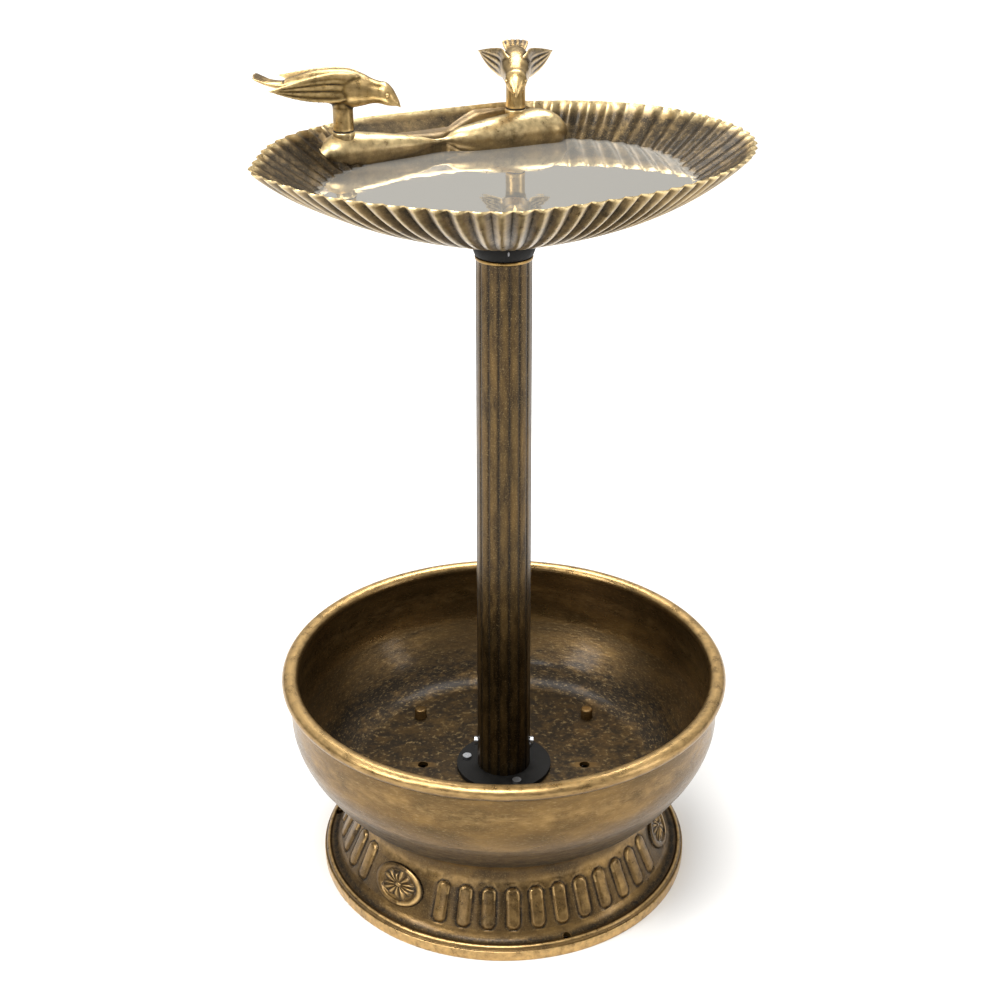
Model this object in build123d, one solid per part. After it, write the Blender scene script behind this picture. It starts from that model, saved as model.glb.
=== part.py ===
"""Bird bath in three tiers: a round flared foot, a planter bowl, and a fluted column that
carries a scallop-shell basin with two cast birds on its hinge side.

Frame: millimetres, +Z up, -Y to the front. The origin is the centre of the three stake holes,
on the plane that the foot stands on.
"""

from build123d import *
from math import atan2, cos, degrees, exp, hypot, pi, radians, sin
import os

os.makedirs("parts", exist_ok=True)

# ---- driving sizes ------------------------------------------------------------------------------
wall = 3.2  # moulded plastic wall of the foot, bowl and basin
fit_gap = 0.3  # clearance between parts that slip together
running_gap = 0.05  # radial clearance where one part turns in another
shank_gap = 0.05  # radial clearance round a screw's shank

# foot: a flared moulded shell, open below
foot_radius = 175.5
foot_height = 85.5
flange_height = 9.0
waist_radius = 138.2
neck_radius = 142.0
neck_lip = 2.0
deck_opening_radius = 95.0
rib_width = 12.4
rib_length = 38.0
rib_rise = 1.9
ribs_per_sector = 11
rib_pitch_deg = 8.43
sector_angles = (20, 140, 260)
rosette_angles = (-40, 80, 200)
rosette_width = 56.0
rosette_height = 37.0
rosette_rise = 1.6
petal_count = 12
stake_circle_radius = foot_radius - 9.0
stake_hole_radius = 3.6

# planter bowl: sits on the foot's deck
bowl_radius = 199.5
bowl_height = 121.0
bowl_floor = 4.0
bead_width = 15.0
bead_depth = 13.0
drain_hole_radius = 5.0
drain_circle_radius = deck_opening_radius - 17.0
bowl_screw_circle = (deck_opening_radius + neck_radius) / 2

# column and its lower socket
column_foot_radius = 25.1
column_top_radius = 23.7
column_length = 506.5
column_bore_radius = 20.0
reed_count = 16
groove_radius = 1.7
lip_proud = 0.9
lip_height = 2.6
socket_flange_radius = column_foot_radius + 20.0
socket_flange = 4.0
socket_spigot_height = 60.0
socket_screw_circle = column_foot_radius + 11.0

# bush in the column's top, and the collar that turns in it
bush_length = 38.0
bush_flange = 2.0
bush_flange_radius = column_bore_radius + 1.4
collar_journal_radius = 15.0
collar_height = 12.2
collar_foot_radius = column_top_radius + 0.8
collar_radius = 26.5
collar_peg_radius = 17.0
collar_peg_height = 8.0

# scallop-shell basin
shell_centre = (9.4, 13.6)
shell_turn_deg = 26.5
shell_half_width = 209.0
shell_front_depth = 167.0
shell_back_depth = 168.7
hinge_depth = 163.6
lobe_reach = 12.0
ear_reach = 10.0
basin_depth = 71.5
hub_radius = collar_radius - 0.5
floor_share = 0.2
flutes_per_turn = 72
flute_depth = 1.6
ledge_below_rim = 13.0
scroll_below_rim = 20.0
scroll_radius = 18.0
scroll_ends = (((-98, 131), (-12, 129)), ((88, 130), (0, 122)))
ledge_corners = ((-160, 108), (-98, 131), (-6, 128), (88, 130), (125, 106), (140, 190), (-160, 190))

# cast birds on their posts
bird_places = {"left": (-137.0, 83.0, 0.0), "rear": (10.6, 171.7, -90.0)}
post_radius = 8.8
post_height = 24.0
peg_radius = 4.0
seal_thickness = 0.8
perch_boss_radius = 9.6
perch_boss_length = 21.0
peg_foot = -seal_thickness - perch_boss_length - running_gap

# screws and washers
screw_shank_radius = 2.0
screw_head_radius = 4.2
screw_head_height = 2.8
washer_radius = 6.0
washer_thickness = 1.0
washer_room = 1.0

# ---- levels, all worked out from the sizes above -------------------------------------------------
deck_underside = foot_height - wall
bowl_floor_top = foot_height + bowl_floor
rim_top = foot_height + bowl_height
column_foot = bowl_floor_top + socket_flange
column_top = column_foot + column_length
collar_seat = column_top + fit_gap
collar_top = collar_seat + collar_height
basin_foot = collar_top + fit_gap
basin_rim = basin_foot + basin_depth
perch_top = basin_rim - 1.0
perch_foot = perch_top - perch_boss_length


def polar(radius, angle_deg):
    """Place on a circle round the column, with the angle counted from the front towards +X."""
    return radius * sin(radians(angle_deg)), -radius * cos(radians(angle_deg))


def write(shape, node):
    """Export one sub-part under its node name."""
    shape.label = node
    export_step(shape, f"parts/{node}.step")


def upright(radius, low, high, place=(0, 0)):
    """Solid cylinder between two heights."""
    return Pos(place[0], place[1], low) * Cylinder(
        radius, high - low, align=(Align.CENTER, Align.CENTER, Align.MIN)
    )


def revolved(*edges):
    """Solid of revolution about Z from a closed outline drawn in the XZ plane."""
    return revolve(Plane.XZ * make_face(Curve() + list(edges)), Axis.Z)


def inward(points, distance):
    """The points of an outline moved to its inner side, square to the outline at each one."""
    moved = []
    last = len(points) - 1
    for index, (r, z) in enumerate(points):
        before, after = points[max(index - 1, 0)], points[min(index + 1, last)]
        dr, dz = after[0] - before[0], after[1] - before[1]
        size = hypot(dr, dz)
        moved.append((r - distance * dz / size, z + distance * dr / size))
    return moved


def screw(place, seat, length, up):
    """Pan-head screw whose head bears on the level seat; up tells which way the shank runs."""
    way = 1 if up else -1
    tip = seat + way * length
    head_face = seat - way * screw_head_height
    shank = upright(screw_shank_radius, min(seat, tip), max(seat, tip), place)
    head = upright(screw_head_radius, min(seat, head_face), max(seat, head_face), place)
    return shank + head


def washer(place, low, inner_radius, outer_radius, thickness):
    """Flat ring."""
    ring = upright(outer_radius, low, low + thickness, place)
    return ring - upright(inner_radius, low, low + thickness, place)


# ---- foot ---------------------------------------------------------------------------------------
wall_foot = (foot_radius - 17.0, 20.0)
wall_head = (waist_radius + 3.3, foot_height - 30.5)


def foot_shell():
    """Skirt, rolled edge, groove, ridge, ribbed wall, waist, neck lip and deck."""
    groove = (foot_radius - 11.0, 12.0)
    lip_radius = neck_radius + neck_lip
    inner_wall_foot, inner_wall_head = inward([wall_foot, wall_head], wall)
    inner_groove_height = groove[1] - wall
    outer = [
        Line((foot_radius, 0), (foot_radius, flange_height)),
        ThreePointArc((foot_radius, flange_height), (foot_radius - 3, 13.6), (foot_radius - 7, groove[1])),
        Line((foot_radius - 7, groove[1]), groove),
        ThreePointArc(groove, (foot_radius - 13, 18.6), wall_foot),
        Line(wall_foot, wall_head),
        ThreePointArc(wall_head, (waist_radius, foot_height - 17.5), (neck_radius, foot_height - 3)),
        Line((neck_radius, foot_height - 3), (lip_radius, foot_height - 2)),
        Line((lip_radius, foot_height - 2), (lip_radius, foot_height)),
        Line((lip_radius, foot_height), (deck_opening_radius, foot_height)),
    ]
    inner_neck = (neck_radius - wall, deck_underside)
    inner_waist = (waist_radius - wall, foot_height - 17.5)
    shelf = (foot_radius - 15.5, inner_groove_height)
    skirt = (foot_radius - wall, inner_groove_height)
    inner = [
        Line((deck_opening_radius, foot_height), (deck_opening_radius, deck_underside)),
        Line((deck_opening_radius, deck_underside), inner_neck),
        ThreePointArc(inner_neck, inner_waist, inner_wall_head),
        Line(inner_wall_head, inner_wall_foot),
        Line(inner_wall_foot, shelf),
        Line(shelf, skirt),
        Line(skirt, (foot_radius - wall, 0)),
        Line((foot_radius - wall, 0), (foot_radius, 0)),
    ]
    return revolved(*outer, *inner)


def wall_point(share):
    """Radius and height on the ribbed wall, from 0 at its foot to 1 at its head."""
    return tuple(a + (b - a) * share for a, b in zip(wall_foot, wall_head))


def wall_seat():
    """Plane on the middle of the ribbed wall, its X round the wall and its Z square out of it."""
    radius, height = wall_point(0.5)
    slope_r, slope_z = wall_head[0] - wall_foot[0], wall_head[1] - wall_foot[1]
    size = hypot(slope_r, slope_z)
    normal = Vector(slope_z / size, 0, -slope_r / size)
    return Plane(origin=(radius, 0, height), x_dir=(0, 1, 0), z_dir=normal)


def rib(angle_deg):
    """Pill-shaped pad up the wall, half sunk in it."""
    pill = Pos(0, 0, -rib_rise) * SlotOverall(rib_length, rib_width, rotation=90)
    return Rot(0, 0, angle_deg - 90) * (wall_seat() * extrude(pill, 2 * rib_rise))


def rosette(angle_deg):
    """Oval medallion on the wall: a plate, a ring of petals and a centre button."""
    sunk = wall - 0.4
    petal_circle = 0.42
    shape = extrude(
        Pos(0, 0, -sunk) * Ellipse(rosette_width / 2, rosette_height / 2), sunk + rosette_rise
    )
    for number in range(petal_count):
        turn = 2 * pi * number / petal_count
        across = petal_circle * rosette_width / 2 * cos(turn)
        up = petal_circle * rosette_height / 2 * sin(turn)
        petal = Rot(0, 0, degrees(turn)) * Ellipse(4.5, 1.5)
        shape += extrude(Pos(across, up, rosette_rise - 0.1) * petal, 1.0)
    shape += extrude(Pos(0, 0, rosette_rise - 0.1) * Circle(3.0), 1.4)
    return Rot(0, 0, angle_deg - 90) * (wall_seat() * shape)


def foot():
    half = (ribs_per_sector - 1) / 2
    ribs = [
        rib(centre + (number - half) * rib_pitch_deg)
        for centre in sector_angles
        for number in range(ribs_per_sector)
    ]
    shape = foot_shell() + ribs + [rosette(angle) for angle in rosette_angles]
    for angle in sector_angles:
        place = polar(stake_circle_radius, angle)
        shape += upright(stake_hole_radius + 2.6, 0, flange_height, place)
        shape -= upright(stake_hole_radius, -1, foot_height / 3, place)
    for angle in screw_angles:
        hole = screw_shank_radius + shank_gap
        shape -= upright(hole, deck_underside - 1, foot_height + 1, polar(bowl_screw_circle, angle))
    return shape


# ---- planter bowl -------------------------------------------------------------------------------
screw_angles = (45, 135, 225, 315)
screw_boss_radius = 6.0
screw_boss_height = 10.0
bead_level = rim_top - bead_depth / 2


def planter_bowl():
    """Bellied bowl with a rolled rim, drain holes and screw bosses."""
    belly = [
        (neck_radius + 0.5, foot_height),
        (bowl_radius - 33.0, foot_height + 0.095 * bowl_height),
        (bowl_radius - 15.5, foot_height + 0.285 * bowl_height),
        (bowl_radius - 3.7, foot_height + 0.467 * bowl_height),
        (bowl_radius, foot_height + 0.65 * bowl_height),
        (bowl_radius - 1.2, bead_level),
    ]
    lining = inward(belly, wall)
    lining[0] = (lining[0][0], bowl_floor_top)
    lining[-1] = (lining[-1][0], bead_level)
    shape = revolved(
        Line((0, foot_height), belly[0]),
        Spline(*belly),
        Line(belly[-1], lining[-1]),
        Spline(*reversed(lining)),
        Line(lining[0], (0, bowl_floor_top)),
        Line((0, bowl_floor_top), (0, foot_height)),
    )
    bead = Pos(bowl_radius + bead_width / 2 - 8.0, bead_level) * Ellipse(bead_width / 2, bead_depth / 2)
    shape += revolve(Plane.XZ * bead, Axis.Z)
    pilot = screw_shank_radius + shank_gap
    for angle in screw_angles:
        place = polar(bowl_screw_circle, angle)
        shape += upright(screw_boss_radius, foot_height, bowl_floor_top + screw_boss_height, place)
        shape -= upright(pilot, foot_height - 1, bowl_floor_top + screw_boss_height - 2, place)
        drain = polar(drain_circle_radius, angle + 45)
        shape -= upright(drain_hole_radius, foot_height - 1, bowl_floor_top + 1, drain)
    for angle in sector_angles:
        place = polar(socket_screw_circle, angle)
        shape += upright(screw_boss_radius, foot_height - screw_boss_height, foot_height, place)
        shape -= upright(pilot, foot_height - screw_boss_height + 2, bowl_floor_top + 1, place)
    return shape


def bowl_screws():
    """Four screws driven up through the foot's deck into the bowl."""
    seat = deck_underside - washer_thickness
    length = bowl_floor_top + screw_boss_height - 3 - seat
    return [screw(polar(bowl_screw_circle, angle), seat, length, up=True) for angle in screw_angles]


def bowl_washers():
    low = deck_underside - washer_thickness
    inner = screw_shank_radius + shank_gap
    return [
        washer(polar(bowl_screw_circle, angle), low, inner, washer_radius, washer_thickness)
        for angle in screw_angles
    ]


# ---- column -------------------------------------------------------------------------------------
lock_screw_height = column_foot + 24.0
lock_screw_length = 9.0


def column_socket():
    """Flanged plug screwed to the bowl's floor; the column slips over its hollow spigot."""
    spigot_radius = column_bore_radius - fit_gap
    shape = upright(socket_flange_radius, bowl_floor_top, column_foot)
    shape += upright(spigot_radius, column_foot, column_foot + socket_spigot_height)
    shape -= upright(spigot_radius - wall, column_foot, column_foot + socket_spigot_height + 1)
    for angle in sector_angles:
        place = polar(socket_screw_circle, angle)
        shape -= upright(screw_shank_radius + shank_gap, bowl_floor_top - 1, column_foot + 1, place)
    return shape - lock_screw_holes()


def socket_screws():
    length = socket_flange + bowl_floor + screw_boss_height - 3
    return [
        screw(polar(socket_screw_circle, angle), column_foot, length, up=False)
        for angle in sector_angles
    ]


def lock_screw_holes():
    """Cross holes through the column's wall and the spigot behind it."""
    radius = screw_shank_radius + shank_gap
    return Pos(0, 0, lock_screw_height) * Rot(0, 90, 0) * Cylinder(radius, 3 * column_foot_radius)


def column_screws():
    """Two screws that lock the column to its socket, one on each side."""
    seat = column_foot_radius + fit_gap
    level = Pos(0, 0, lock_screw_height)
    one = screw((0, 0), -seat, lock_screw_length, up=True)
    return [level * Rot(0, turn, 0) * one for turn in (90, -90)]


def reeded_section(radius):
    """Round section with narrow grooves between broad reeds."""
    face = Sketch() + Circle(radius)
    for number in range(reed_count):
        turn = 360 * (number + 0.5) / reed_count
        face -= Rot(0, 0, turn) * Pos(radius + 0.7, 0) * Circle(groove_radius)
    return face.faces()[0]


def column():
    """Reeded tube, a little wider at its foot, with a raised lip round its top."""
    foot_face = Pos(0, 0, column_foot) * reeded_section(column_foot_radius)
    top_face = Pos(0, 0, column_top) * reeded_section(column_top_radius)
    shape = loft([foot_face, top_face], ruled=True)
    shape += upright(column_top_radius + lip_proud, column_top - lip_height, column_top)
    shape -= upright(column_bore_radius, column_foot - 1, column_top + 1)
    shape -= upright(bush_flange_radius + fit_gap / 3, column_top - bush_flange, column_top + 1)
    return shape - lock_screw_holes()


def column_bush():
    """Plastic bush let into the column's top; the collar's journal turns in it."""
    shape = upright(column_bore_radius - fit_gap / 3, column_top - bush_length, column_top)
    shape += upright(bush_flange_radius, column_top - bush_flange, column_top)
    bore = collar_journal_radius + running_gap
    return shape - upright(bore, column_top - bush_length - 1, column_top + 1)


def basin_collar():
    """Black turning collar: journal below, rounded band, and a peg that the basin sits over."""
    band_shoulder = collar_seat + 0.45 * collar_height
    shape = revolved(
        Line((0, collar_seat), (collar_foot_radius, collar_seat)),
        Line((collar_foot_radius, collar_seat), (collar_radius, band_shoulder)),
        Line((collar_radius, band_shoulder), (collar_radius, collar_top)),
        Line((collar_radius, collar_top), (0, collar_top)),
        Line((0, collar_top), (0, collar_seat)),
    )
    shape += upright(collar_journal_radius, column_top - bush_length, collar_seat)
    shape += upright(collar_peg_radius, collar_top, collar_top + collar_peg_height)
    shape -= upright(collar_journal_radius - wall, column_top - bush_length - 1, collar_seat)
    mark = Pos(0, -collar_radius, collar_top - 4.0) * Box(1.2, 1.2, 5.0)
    return shape + Rot(0, 0, 8) * mark


# ---- basin --------------------------------------------------------------------------------------
def outline_point(angle_deg):
    """Plan of the rim before fluting: a squared ellipse cut off straight along the hinge."""
    c, s = cos(radians(angle_deg)), sin(radians(angle_deg))
    depth, power = (shell_back_depth, 2.27) if s > 0 else (shell_front_depth, 1.94)
    radius = ((abs(c) / shell_half_width) ** power + (abs(s) / depth) ** power) ** (-1 / power)
    if s > 0.2:
        radius = min(radius, hinge_depth / s)
    lobe = lobe_reach * exp(-(((angle_deg - 240) / 18) ** 2))
    ear = ear_reach * exp(-(((angle_deg - 173) / 8) ** 2))
    return radius + lobe + ear


def flute(angle_deg):
    """Depth of the fluting at an angle: none along the hinge, full elsewhere."""
    from_hinge = abs(((angle_deg - 90 + 180) % 360) - 180)
    fade = min(max((from_hinge - 26) / 10, 0), 1)
    return flute_depth * fade * cos(radians(flutes_per_turn * angle_deg))


def shell_section(share, level, inset=0.0):
    """Closed outline of the shell at a share of the way from its hub to its rim."""
    turn = radians(shell_turn_deg)
    points = []
    steps = 4 * flutes_per_turn
    for number in range(steps):
        angle = 360 * number / steps
        radius = outline_point(angle) + flute(angle) - inset
        x = shell_centre[0] + radius * cos(radians(angle) + turn)
        y = shell_centre[1] + radius * sin(radians(angle) + turn)
        out = hypot(x, y)
        here = 1 - share + share * out / hub_radius
        points.append((x / out * hub_radius * here, y / out * hub_radius * here, level))
    return Wire([Edge.make_spline([Vector(*point) for point in points], periodic=True)])


def shell_level(share):
    """Height of the shell's outside at a share of the way out: a flat cone that turns up at the rim."""
    return basin_foot + basin_depth * (0.58 * share + 0.42 * share**3.4)


def shell_outside():
    shares = (0, 0.25, 0.5, 0.75, 0.9, 1)
    return Solid.make_loft([shell_section(share, shell_level(share)) for share in shares])


def shell_inside():
    """The hollow: the outside moved up and in by the wall, flat over the hub."""
    lift = 1.25 * wall
    shares = (floor_share, 0.4, 0.6, 0.8, 0.93, 1.06)
    return Solid.make_loft(
        [shell_section(share, shell_level(share) + lift, 0.6 * wall) for share in shares]
    )


def in_shell(u, v):
    """Row place of a point of the shell: u along its hinge, v from its middle to the hinge."""
    turn = radians(shell_turn_deg)
    x = shell_centre[0] + u * cos(turn) - v * sin(turn)
    return x, shell_centre[1] + u * sin(turn) + v * cos(turn)


def scroll(thick_end, thin_end, level):
    """Volute along the hinge side: a horn, round at its thick end and drawn out to a point."""
    start, end = Vector(*in_shell(*thick_end), level), Vector(*in_shell(*thin_end), level)
    length = (end - start).length
    outline = [
        Line((-scroll_radius, 0), (length, 0)),
        Spline(
            (length, 0),
            (0.5 * length, 0.72 * scroll_radius),
            (0.1 * length, scroll_radius),
            (-0.7 * scroll_radius, 0.7 * scroll_radius),
            (-scroll_radius, 0),
        ),
    ]
    horn = revolve(make_face(Curve() + outline), Axis.X)
    return Plane(origin=start, x_dir=end - start, z_dir=(0, 0, 1)) * horn


def hinge_ledge():
    """Raised ledge behind the scrolls, filling the corner between them and the hinge wall."""
    level = basin_rim - ledge_below_rim
    corners = [in_shell(*corner) for corner in ledge_corners]
    plate = extrude(make_face(Polyline(*corners, close=True)), level - basin_foot)
    return Pos(0, 0, basin_foot) * plate


def basin():
    """Scallop shell with its hinge ledge, scrolls, perch bosses and the socket under its hub."""
    places = [place[:2] for place in bird_places.values()]
    perches = [upright(perch_boss_radius, perch_foot, perch_top, place) for place in places]
    scroll_level = basin_rim - scroll_below_rim
    scrolls = [scroll(thick, thin, scroll_level) for thick, thin in scroll_ends]
    hollow = shell_inside() - (hinge_ledge() + scrolls + perches)
    shape = (shell_outside() + perches) - hollow
    for place in places:
        shape -= upright(peg_radius + running_gap, perch_foot - 1, perch_top + 1, place)
        shape -= upright(washer_radius + washer_room, basin_foot, perch_foot, place)
    socket_top = collar_top + collar_peg_height + fit_gap
    return shape - upright(collar_peg_radius + fit_gap, basin_foot - 1, socket_top)


# ---- birds --------------------------------------------------------------------------------------
def oval(along, level, half_height, half_width):
    """Upright oval across the bird."""
    across = Plane(origin=(along, 0, level), x_dir=(0, 1, 0), z_dir=(1, 0, 0))
    return across * Ellipse(half_width, half_height).faces()[0]


def bird_body():
    """Ovals lofted from the hooked beak to the rump, and a flat tail that curves up behind."""
    stations = [
        (49.0, 19.5, 1.0, 1.0),
        (44.0, 26.0, 6.0, 5.5),
        (36.0, 31.0, 9.0, 9.0),
        (18.0, 35.0, 13.8, 12.5),
        (6.0, 35.5, 16.5, 14.3),
        (-12.0, 37.5, 15.0, 14.0),
        (-32.0, 38.0, 10.5, 11.5),
        (-48.0, 37.5, 4.5, 9.5),
    ]
    tail = loft([oval(-44, 37.5, 5.5, 10.2), oval(-60, 40.0, 2.5, 9.5), oval(-72.5, 44.5, 1.8, 12.0)])
    return loft([oval(*station) for station in stations]) + tail


def bird_wing(side):
    """Half-open wing swept back from the shoulder."""
    outline = [
        Spline((16, 6 * side), (6, 19 * side), (-22, 30 * side), (-58, 35.5 * side)),
        Line((-58, 35.5 * side), (-42, 22 * side)),
        Line((-42, 22 * side), (-36, 6 * side)),
        Line((-36, 6 * side), (16, 6 * side)),
    ]
    return Pos(0, 0, 42.5) * extrude(make_face(Curve() + outline), 5.0)


def bird():
    """One casting, beak towards +X: body, wings, round post and the peg below it."""
    pilot = screw_shank_radius + shank_gap
    shape = bird_body() + bird_wing(1) + bird_wing(-1)
    shape += upright(post_radius, 0, post_height)
    shape += upright(peg_radius, peg_foot, 0)
    return shape - upright(pilot, peg_foot - 1, peg_foot + perch_boss_length - 4)


def bird_set(side):
    """A bird with its seal, washer and screw, on its perch."""
    x, y, heading = bird_places[side]
    place = Pos(x, y, perch_top + seal_thickness) * Rot(0, 0, heading)
    under = peg_foot - washer_thickness
    write(place * bird(), f"bird_{side}")
    seal = washer((0, 0), -seal_thickness, peg_radius + running_gap, post_radius, seal_thickness)
    write(place * seal, f"bird_{side}_seal")
    ring = washer((0, 0), under, screw_shank_radius + shank_gap, washer_radius, washer_thickness)
    write(place * ring, f"bird_{side}_washer")
    write(place * screw((0, 0), under, perch_boss_length - 6, up=True), f"bird_{side}_screw")


# ---- sub-parts, from the ground up ---------------------------------------------------------------
write(foot(), "foot")
write(planter_bowl(), "planter_bowl")
write(Compound(children=bowl_screws()), "bowl_screws")
write(Compound(children=bowl_washers()), "bowl_screw_washers")
write(column_socket(), "column_socket")
write(Compound(children=socket_screws()), "socket_screws")
write(column(), "column")
write(Compound(children=column_screws()), "column_screws")
write(column_bush(), "column_bush")
write(basin_collar(), "basin_collar")
write(basin(), "basin")
bird_set("left")
bird_set("rear")
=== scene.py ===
import bpy
import numpy as np
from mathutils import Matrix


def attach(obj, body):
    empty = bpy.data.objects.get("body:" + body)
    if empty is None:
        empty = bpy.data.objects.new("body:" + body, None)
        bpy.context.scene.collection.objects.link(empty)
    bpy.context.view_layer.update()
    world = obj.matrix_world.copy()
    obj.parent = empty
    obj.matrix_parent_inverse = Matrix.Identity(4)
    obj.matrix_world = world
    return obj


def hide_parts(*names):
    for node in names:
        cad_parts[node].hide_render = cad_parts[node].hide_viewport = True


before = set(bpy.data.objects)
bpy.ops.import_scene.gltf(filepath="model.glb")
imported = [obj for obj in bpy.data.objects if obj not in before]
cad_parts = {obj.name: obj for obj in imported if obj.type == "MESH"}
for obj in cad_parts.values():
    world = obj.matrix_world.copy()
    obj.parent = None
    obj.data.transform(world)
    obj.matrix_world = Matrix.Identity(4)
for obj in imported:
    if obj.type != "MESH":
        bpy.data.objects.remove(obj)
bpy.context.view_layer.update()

# ---- Studio -------------------------------------------------------------------------------------
# A seamless pale floor under a white room, wide softboxes overhead behind and in front, a key at
# the upper left, a fill on the right and one low in front, so the paint has soft pale highlights.


def linear(code):
    """Linear RGBA of an sRGB hex colour: a straight part below 0.04045 and a 2.4 power above."""
    value = np.array([int(code[k : k + 2], 16) for k in (1, 3, 5)]) / 255
    value = np.where(value <= 0.04045, value / 12.92, ((value + 0.055) / 1.055) ** 2.4)
    return (*value.tolist(), 1.0)


def add(tree, kind, sockets=None, stops=None, **settings):
    """Adds one shader node. Settings are its own properties, sockets its inputs, each given a value
    or the output that feeds it, and stops the places and colours of a colour ramp."""
    node = tree.nodes.new("ShaderNode" + kind)
    for name, value in settings.items():
        setattr(node, name, value)
    for name, value in (sockets or {}).items():
        if isinstance(value, bpy.types.NodeSocket):
            tree.links.new(value, node.inputs[name])
        else:
            node.inputs[name].default_value = value
    if stops:
        ramp = node.color_ramp.elements
        while len(ramp) < len(stops):
            ramp.new(0.5)
        for element, (place, colour) in zip(ramp, stops):
            element.position, element.color = place, linear(colour)
    return node


def finish_named(name):
    """A new material with an empty node tree and its output."""
    material = bpy.data.materials.new(name)
    material.use_nodes = True
    material.node_tree.nodes.clear()
    return material, material.node_tree, add(material.node_tree, "OutputMaterial")


card, tree, out = finish_named("pale_floor_card")
grain = add(tree, "TexNoise", {"Scale": 3.0, "Detail": 2.0})
tone = add(tree, "ValToRGB", {"Fac": grain.outputs["Fac"]}, [(0.3, "#f3f2f0"), (0.7, "#f7f6f4")])
spot = add(tree, "TexCoord").outputs["Object"]
reach = add(tree, "VectorMath", {0: spot}, operation="LENGTH")
glow = add(tree, "MapRange", {0: reach.outputs["Value"], 1: 0.2, 2: 2.4, 3: 0.0, 4: 0.75})
face = add(
    tree, "BsdfPrincipled",
    {"Base Color": tone.outputs["Color"], "Roughness": 0.9, "Emission Color": linear("#fbfaf8"),
     "Emission Strength": glow.outputs[0]},
)
tree.links.new(face.outputs[0], out.inputs["Surface"])
floor_mesh = bpy.data.meshes.new("floor")
floor_half = 14.0
floor_corners = [
    (x * floor_half, y * floor_half, 0) for x, y in ((-1, -1), (1, -1), (1, 1), (-1, 1))
]
floor_mesh.from_pydata(floor_corners, [], [(0, 1, 2, 3)])
floor_mesh.materials.append(card)
floor = bpy.data.objects.new("floor", floor_mesh)
bpy.context.scene.collection.objects.link(floor)

room = bpy.data.worlds.new("white_room")
bpy.context.scene.world = room
room.use_nodes = True
sky = add(room.node_tree, "TexCoord").outputs["Generated"]
height = add(room.node_tree, "SeparateXYZ", {"Vector": sky}).outputs["Z"]
shade = add(
    room.node_tree, "ValToRGB", {"Fac": height},
    [(0.0, "#6e6c68"), (0.08, "#42403d"), (0.15, "#605e5c"), (0.22, "#d3d2d0"), (0.75, "#e6e5e3")],
)
seen = add(room.node_tree, "LightPath").outputs["Is Camera Ray"]
backdrop = add(
    room.node_tree, "Mix", {0: seen, 6: shade.outputs["Color"], 7: linear("#fdfdfc")},
    data_type="RGBA",
)
power = add(room.node_tree, "MapRange", {0: seen, 3: 0.7, 4: 1.0})
background = room.node_tree.nodes["Background"]
room.node_tree.links.new(backdrop.outputs[2], background.inputs["Color"])
room.node_tree.links.new(power.outputs[0], background.inputs["Strength"])


def softbox(name, place, target, width, height, power):
    """A rectangular area light at a place, turned so that its face looks at the target."""
    light = bpy.data.lights.new(name, "AREA")
    light.shape, light.size, light.size_y, light.energy = "RECTANGLE", width, height, power
    lamp = bpy.data.objects.new(name, light)
    bpy.context.scene.collection.objects.link(lamp)
    away = np.array(place, float) - np.array(target, float)
    flat = np.hypot(away[0], away[1])
    lamp.location = place
    lamp.rotation_euler = (np.arctan2(flat, away[2]), 0, np.arctan2(away[0], -away[1]))


softbox("softbox_overhead", (0.0, 0.9, 2.2), (0.0, 0.1, 0.6), 1.4, 0.7, 34)
softbox("softbox_key", (-1.6, -1.0, 1.7), (0.0, 0.0, 0.35), 0.6, 1.0, 28)
softbox("softbox_fill", (1.9, -0.7, 0.9), (0.0, 0.0, 0.3), 0.4, 1.2, 10)
softbox("softbox_above_front", (-0.25, -1.0, 2.3), (0.0, 0.12, 0.68), 1.2, 0.7, 38)
softbox("softbox_low_front", (-1.1, -2.1, 0.3), (0.0, 0.0, 0.2), 1.3, 0.5, 5)
bpy.context.scene.view_settings.view_transform = "Standard"

view = bpy.data.cameras.new("camera")
view.lens, view.sensor_width, view.clip_end = 59.13, 36.0, 60.0
camera = bpy.data.objects.new("camera", view)
camera.location = (-0.0017, -1.324, 1.012)
camera_tilt = 25.82
camera.rotation_euler = (np.radians(90 - camera_tilt), 0, 0)
bpy.context.scene.collection.objects.link(camera)
bpy.context.scene.camera = camera

# ---- Foot ---------------------------------------------------------------------------------------
# The foot is a flared moulding of 3 mm plastic, open below, with a rolled outer edge, a groove, and
# three runs of eleven raised ribs round its sloping wall. It is painted antique bronze, rubbed back
# to pale gold on whatever stands proud. Its flange has three holes for stakes.
# Beside the rubbed gold, the upper rims of the ribs carry a painted highlight, and the neck and the
# roll under its lip, below the planter bowl, carry painted shade.


def flow(points, steps):
    """Points along a smooth line through the given ones: on each span the Catmull-Rom cubic, which
    leaves each point along the chord between its neighbours."""
    points = np.asarray(points, float)
    ends = np.vstack([2 * points[0] - points[1], points, 2 * points[-1] - points[-2]])
    p0, p1, p2, p3 = (ends[k : len(ends) - 3 + k][:, None] for k in range(4))
    t = np.linspace(0, 1, steps, endpoint=False)[None, :, None]
    square, cube = 2 * p0 - 5 * p1 + 4 * p2 - p3, 3 * (p1 - p2) + p3 - p0
    line = p1 + 0.5 * t * (p2 - p0 + t * (square + t * cube))
    return np.vstack([line.reshape(-1, points.shape[1]), points[-1:]])


def keep_mask(mesh, name, values):
    """Keeps a value from 0 to 1 at each point of a mesh, where its material reads it."""
    mesh.attributes.new(name, "FLOAT", "POINT").data.foreach_set("value", np.clip(values, 0, 1))


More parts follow.
